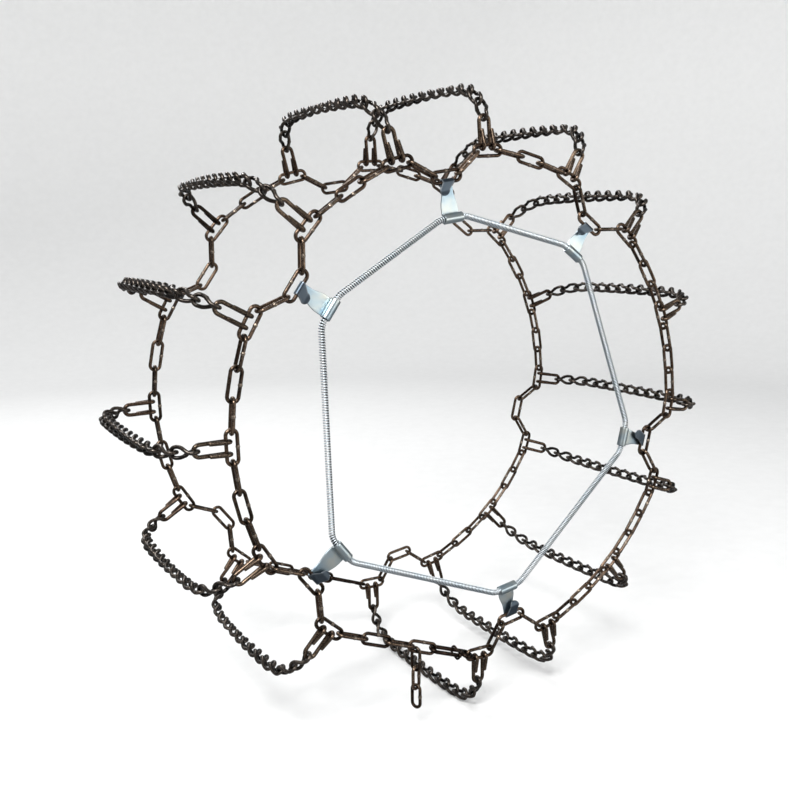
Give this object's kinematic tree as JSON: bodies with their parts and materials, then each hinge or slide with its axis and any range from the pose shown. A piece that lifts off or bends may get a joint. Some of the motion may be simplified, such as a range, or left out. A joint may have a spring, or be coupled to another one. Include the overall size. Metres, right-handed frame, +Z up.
{
  "type": "tyre snow chains",
  "caption": "Snow chain net for one wheel: twisted cross chains hooked between two side chains, with a spring tensioner on the outer side.",
  "frame": {"origin": "centre of the tyre that the net is fitted to", "axes": "+Y along the wheel's axle from the outer face to the inner one, +Z up; the spring tensioner is on the -Y side"},
  "size_m": [0.8894, 0.3668, 0.8901],
  "materials": {
    "heat_tinted_steel": "hardened steel with a dark bronze-brown heat oxide, satin, lighter where rubbed",
    "dark_chain_steel": "dark oiled hardened steel with brown-grey wear on the high edges",
    "zinc_sheet": "bright bluish zinc plate on bent sheet steel",
    "spring_wire": "light grey zinc plated spring wire",
    "fastener_steel": "forged steel with a dark bronze-brown heat oxide"
  },
  "bodies": {
    "net": {"outer_attach_links": "heat_tinted_steel", "inner_attach_links": "heat_tinted_steel", "outer_cross_hooks": "heat_tinted_steel", "inner_cross_hooks": "heat_tinted_steel", "outer_tensioned_links": "heat_tinted_steel", "inner_side_links": "heat_tinted_steel", "outer_fastener_links": "heat_tinted_steel", "inner_fastener_links": "heat_tinted_steel", "tensioner_spring_1": "spring_wire", "tensioner_spring_2": "spring_wire", "tensioner_spring_3": "spring_wire", "tensioner_spring_4": "spring_wire", "tensioner_spring_5": "spring_wire", "tensioner_spring_6": "spring_wire"},
    "cross_chain_01": {"cross_chain_01": "dark_chain_steel"},
    "cross_chain_02": {"cross_chain_02": "dark_chain_steel"},
    "cross_chain_03": {"cross_chain_03": "dark_chain_steel"},
    "cross_chain_04": {"cross_chain_04": "dark_chain_steel"},
    "cross_chain_05": {"cross_chain_05": "dark_chain_steel"},
    "cross_chain_06": {"cross_chain_06": "dark_chain_steel"},
    "cross_chain_07": {"cross_chain_07": "dark_chain_steel"},
    "cross_chain_08": {"cross_chain_08": "dark_chain_steel"},
    "cross_chain_09": {"cross_chain_09": "dark_chain_steel"},
    "cross_chain_10": {"cross_chain_10": "dark_chain_steel"},
    "cross_chain_11": {"cross_chain_11": "dark_chain_steel"},
    "cross_chain_12": {"cross_chain_12": "dark_chain_steel"},
    "cross_chain_13": {"cross_chain_13": "dark_chain_steel"},
    "cross_chain_14": {"cross_chain_14": "dark_chain_steel"},
    "cross_chain_15": {"cross_chain_15": "dark_chain_steel"},
    "outer_side_links_02": {"outer_side_links_02": "heat_tinted_steel"},
    "outer_side_links_04": {"outer_side_links_04": "heat_tinted_steel"},
    "outer_side_links_05": {"outer_side_links_05": "heat_tinted_steel"},
    "outer_side_links_07": {"outer_side_links_07": "heat_tinted_steel"},
    "outer_side_links_08": {"outer_side_links_08": "heat_tinted_steel"},
    "outer_side_links_12": {"outer_side_links_12": "heat_tinted_steel"},
    "outer_side_links_13": {"outer_side_links_13": "heat_tinted_steel"},
    "outer_side_links_15": {"outer_side_links_15": "heat_tinted_steel"},
    "tensioner_hook_1": {"tensioner_hook_1": "zinc_sheet"},
    "tensioner_hook_2": {"tensioner_hook_2": "zinc_sheet"},
    "tensioner_hook_3": {"tensioner_hook_3": "zinc_sheet"},
    "tensioner_hook_4": {"tensioner_hook_4": "zinc_sheet"},
    "tensioner_hook_5": {"tensioner_hook_5": "zinc_sheet"},
    "tensioner_hook_6": {"tensioner_hook_6": "zinc_sheet"},
    "outer_fastener_hook": {"outer_fastener_hook": "fastener_steel"},
    "fastener_keeper": {"fastener_keeper": "fastener_steel"},
    "inner_fastener_hook": {"inner_fastener_hook": "fastener_steel"},
    "tail_link_1": {"tail_link_1": "heat_tinted_steel"},
    "tail_link_2": {"tail_link_2": "heat_tinted_steel"},
    "tail_link_3": {"tail_link_3": "heat_tinted_steel"}
  },
  "joints": [
    {"name": "cross_chain_01_swing", "type": "hinge", "parent": "net", "child": "cross_chain_01", "pos_m": [-0.13205, 0, 0.36448], "axis": [0, 1, 0], "range_deg": [-20, 20]},
    {"name": "cross_chain_02_swing", "type": "hinge", "parent": "net", "child": "cross_chain_02", "pos_m": [0.00958, 0, 0.38754], "axis": [0, 1, 0], "range_deg": [-20, 20]},
    {"name": "cross_chain_03_swing", "type": "hinge", "parent": "net", "child": "cross_chain_03", "pos_m": [0.16741, 0, 0.34965], "axis": [0, 1, 0], "range_deg": [-20, 20]},
    {"name": "cross_chain_04_swing", "type": "hinge", "parent": "net", "child": "cross_chain_04", "pos_m": [0.28081, 0, 0.26726], "axis": [0, 1, 0], "range_deg": [-20, 20]},
    {"name": "cross_chain_05_swing", "type": "hinge", "parent": "net", "child": "cross_chain_05", "pos_m": [0.36446, 0, 0.13265], "axis": [0, 1, 0], "range_deg": [-20, 20]},
    {"name": "cross_chain_06_swing", "type": "hinge", "parent": "net", "child": "cross_chain_06", "pos_m": [0.3869, 0, -0.02424], "axis": [0, 1, 0], "range_deg": [-20, 20]},
    {"name": "cross_chain_07_swing", "type": "hinge", "parent": "net", "child": "cross_chain_07", "pos_m": [0.35707, 0, -0.15094], "axis": [0, 1, 0], "range_deg": [-20, 20]},
    {"name": "cross_chain_08_swing", "type": "hinge", "parent": "net", "child": "cross_chain_08", "pos_m": [0.26698, 0, -0.28134], "axis": [0, 1, 0], "range_deg": [-20, 20]},
    {"name": "cross_chain_09_swing", "type": "hinge", "parent": "net", "child": "cross_chain_09", "pos_m": [0.13205, 0, -0.36448], "axis": [0, 1, 0], "range_deg": [-20, 20]},
    {"name": "cross_chain_10_swing", "type": "hinge", "parent": "net", "child": "cross_chain_10", "pos_m": [0.00338, 0, -0.38783], "axis": [0, 1, 0], "range_deg": [-20, 20]},
    {"name": "cross_chain_11_swing", "type": "hinge", "parent": "net", "child": "cross_chain_11", "pos_m": [-0.25445, 0, -0.29271], "axis": [0, 1, 0], "range_deg": [-20, 20]},
    {"name": "cross_chain_12_swing", "type": "hinge", "parent": "net", "child": "cross_chain_12", "pos_m": [-0.34515, 0, -0.17651], "axis": [0, 1, 0], "range_deg": [-20, 20]},
    {"name": "cross_chain_13_swing", "type": "hinge", "parent": "net", "child": "cross_chain_13", "pos_m": [-0.38767, 0, -0.01184], "axis": [0, 1, 0], "range_deg": [-20, 20]},
    {"name": "cross_chain_14_swing", "type": "hinge", "parent": "net", "child": "cross_chain_14", "pos_m": [-0.35528, 0, 0.15511], "axis": [0, 1, 0], "range_deg": [-20, 20]},
    {"name": "cross_chain_15_swing", "type": "hinge", "parent": "net", "child": "cross_chain_15", "pos_m": [-0.27452, 0, 0.27371], "axis": [0, 1, 0], "range_deg": [-20, 20]},
    {"name": "outer_side_links_02_roll", "type": "hinge", "parent": "net", "child": "outer_side_links_02", "pos_m": [0.08108, -0.172, 0.33774], "axis": [0.9724, 0, -0.2334], "range_deg": [-12, 12]},
    {"name": "outer_side_links_04_roll", "type": "hinge", "parent": "net", "child": "outer_side_links_04", "pos_m": [0.29542, -0.172, 0.18126], "axis": [0.5112, 0, -0.8594], "range_deg": [-12, 12]},
    {"name": "outer_side_links_05_roll", "type": "hinge", "parent": "net", "child": "outer_side_links_05", "pos_m": [0.34282, -0.172, 0.05104], "axis": [0.1608, 0, -0.987], "range_deg": [-12, 12]},
    {"name": "outer_side_links_07_roll", "type": "hinge", "parent": "net", "child": "outer_side_links_07", "pos_m": [0.28403, -0.172, -0.19864], "axis": [-0.5843, 0, -0.8115], "range_deg": [-12, 12]},
    {"name": "outer_side_links_08_roll", "type": "hinge", "parent": "net", "child": "outer_side_links_08", "pos_m": [0.18351, -0.172, -0.29403], "axis": [-0.841, 0, -0.541], "range_deg": [-12, 12]},
    {"name": "outer_side_links_12_roll", "type": "hinge", "parent": "net", "child": "outer_side_links_12", "pos_m": [-0.33521, -0.172, -0.08456], "axis": [-0.2324, 0, 0.9726], "range_deg": [-12, 12]},
    {"name": "outer_side_links_13_roll", "type": "hinge", "parent": "net", "child": "outer_side_links_13", "pos_m": [-0.33974, -0.172, 0.06394], "axis": [0.1726, 0, 0.985], "range_deg": [-12, 12]},
    {"name": "outer_side_links_15_roll", "type": "hinge", "parent": "net", "child": "outer_side_links_15", "pos_m": [-0.18635, -0.172, 0.29252], "axis": [0.8434, 0, 0.5373], "range_deg": [-12, 12]},
    {"name": "tensioner_hook_1_slack", "type": "slide", "parent": "net", "child": "tensioner_hook_1", "axis": [-0.1607, 0, 0.987], "range_m": [0, 0.006]},
    {"name": "tensioner_hook_2_slack", "type": "slide", "parent": "net", "child": "tensioner_hook_2", "axis": [0.5878, 0, 0.809], "range_m": [0, 0.006]},
    {"name": "tensioner_hook_3_slack", "type": "slide", "parent": "net", "child": "tensioner_hook_3", "axis": [0.9734, 0, -0.2292], "range_m": [0, 0.006]},
    {"name": "tensioner_hook_4_slack", "type": "slide", "parent": "net", "child": "tensioner_hook_4", "axis": [0.1822, 0, -0.9833], "range_m": [0, 0.006]},
    {"name": "tensioner_hook_5_slack", "type": "slide", "parent": "net", "child": "tensioner_hook_5", "axis": [-0.7907, 0, -0.6122], "range_m": [0, 0.006]},
    {"name": "tensioner_hook_6_slack", "type": "slide", "parent": "net", "child": "tensioner_hook_6", "axis": [-0.8266, 0, 0.5628], "range_m": [0, 0.006]},
    {"name": "outer_fastener_roll", "type": "hinge", "parent": "net", "child": "outer_fastener_hook", "pos_m": [-0.01586, -0.172, -0.34849], "axis": [-0.9382, 0, 0.3461], "range_deg": [-8, 30]},
    {"name": "keeper_slide", "type": "slide", "parent": "outer_fastener_hook", "child": "fastener_keeper", "axis": [0.9382, 0, -0.3461], "range_m": [0, 0.007]},
    {"name": "inner_fastener_roll", "type": "hinge", "parent": "net", "child": "inner_fastener_hook", "pos_m": [-0.01586, 0.172, -0.34849], "axis": [-0.9382, 0, 0.3461], "range_deg": [-30, 8]},
    {"name": "tail_link_1_swing", "type": "hinge", "parent": "net", "child": "tail_link_1", "pos_m": [-0.10142, -0.172, -0.32449], "axis": [-0.9382, 0, 0.3461], "range_deg": [-15, 30]},
    {"name": "tail_link_2_swing", "type": "hinge", "parent": "tail_link_1", "child": "tail_link_2", "pos_m": [-0.10142, -0.172, -0.34469], "axis": [0.9135, 0.4067, 0], "range_deg": [-25, 25]},
    {"name": "tail_link_3_swing", "type": "hinge", "parent": "tail_link_2", "child": "tail_link_3", "pos_m": [-0.10142, -0.172, -0.37189], "axis": [-0.4067, 0.9135, 0], "range_deg": [-25, 25]}
  ]
}
